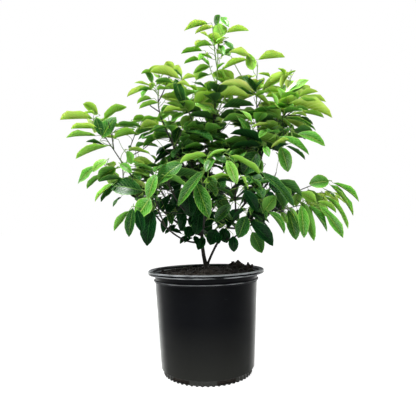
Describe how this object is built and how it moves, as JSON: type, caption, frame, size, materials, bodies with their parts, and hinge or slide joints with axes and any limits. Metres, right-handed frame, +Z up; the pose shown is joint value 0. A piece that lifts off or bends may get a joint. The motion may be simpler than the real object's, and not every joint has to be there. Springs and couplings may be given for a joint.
{
  "type": "potted calamondin orange tree",
  "caption": "Young calamondin orange tree with a slim forking trunk and open tiers of evergreen leaves, growing in a round black plastic nursery pot filled with soil.",
  "frame": {"origin": "the middle of the pot's flat underside", "axes": "+Z up along the pot's axis; the front of the plant faces -Y, and +X points to its right as seen from the front"},
  "size_m": [0.6984, 0.4967, 0.8425],
  "materials": {
    "pot": "moulded black polyethylene, satin, bluish where it catches the light",
    "soil": "damp dark brown bark and peat potting mix, crumbly and dull",
    "bark": "thin dark brown bark, finely fissured, matt",
    "young_leaves": "yellow-green young citrus leaf, soft gloss",
    "grown_leaves": "bright to deep green grown citrus leaf, waxy gloss",
    "old_leaves": "dark bluish green old citrus leaf, waxy gloss"
  },
  "bodies": {
    "root": {"pot": "pot", "soil": "soil", "trunk": "bark", "right_stem": "bark", "right_bough": "bark", "leader_bough": "bark", "upper_left_bough": "bark", "upper_centre_bough": "bark", "left_bough": "bark", "left_flank_bough": "bark", "low_left_bough": "bark", "front_left_bough": "bark", "centre_left_bough": "bark", "front_centre_bough": "bark", "spire_bough": "bark", "right_shoulder_bough": "bark", "right_flank_bough": "bark", "spray_bough": "bark", "low_right_bough": "bark", "front_right_bough": "bark", "centre_right_bough": "bark", "back_left_high_bough": "bark", "back_left_bough": "bark", "back_top_bough": "bark", "back_centre_bough": "bark", "back_right_high_bough": "bark", "back_right_bough": "bark", "crown_top": "young_leaves", "right_spire": "young_leaves", "upper_left": "young_leaves", "upper_centre": "young_leaves", "centre_top": "young_leaves", "far_left": "young_leaves", "left_shoulder": "young_leaves", "left_flank": "grown_leaves", "low_left": "grown_leaves", "low_left_front": "grown_leaves", "low_left_inner": "old_leaves", "front_left": "grown_leaves", "centre_left": "grown_leaves", "centre": "grown_leaves", "front_centre": "grown_leaves", "low_centre": "grown_leaves", "front_right": "grown_leaves", "centre_right": "grown_leaves", "low_right_inner": "old_leaves", "low_right": "old_leaves", "spray_upper": "grown_leaves", "spray_lower": "old_leaves", "right_flank": "old_leaves", "right_top": "young_leaves", "far_right": "young_leaves", "right_shoulder": "grown_leaves", "back_left_high": "young_leaves", "back_left": "grown_leaves", "back_top": "young_leaves", "back_centre": "grown_leaves", "back_low": "old_leaves", "back_right_high": "young_leaves", "back_right": "grown_leaves"}
  },
  "joints": []
}
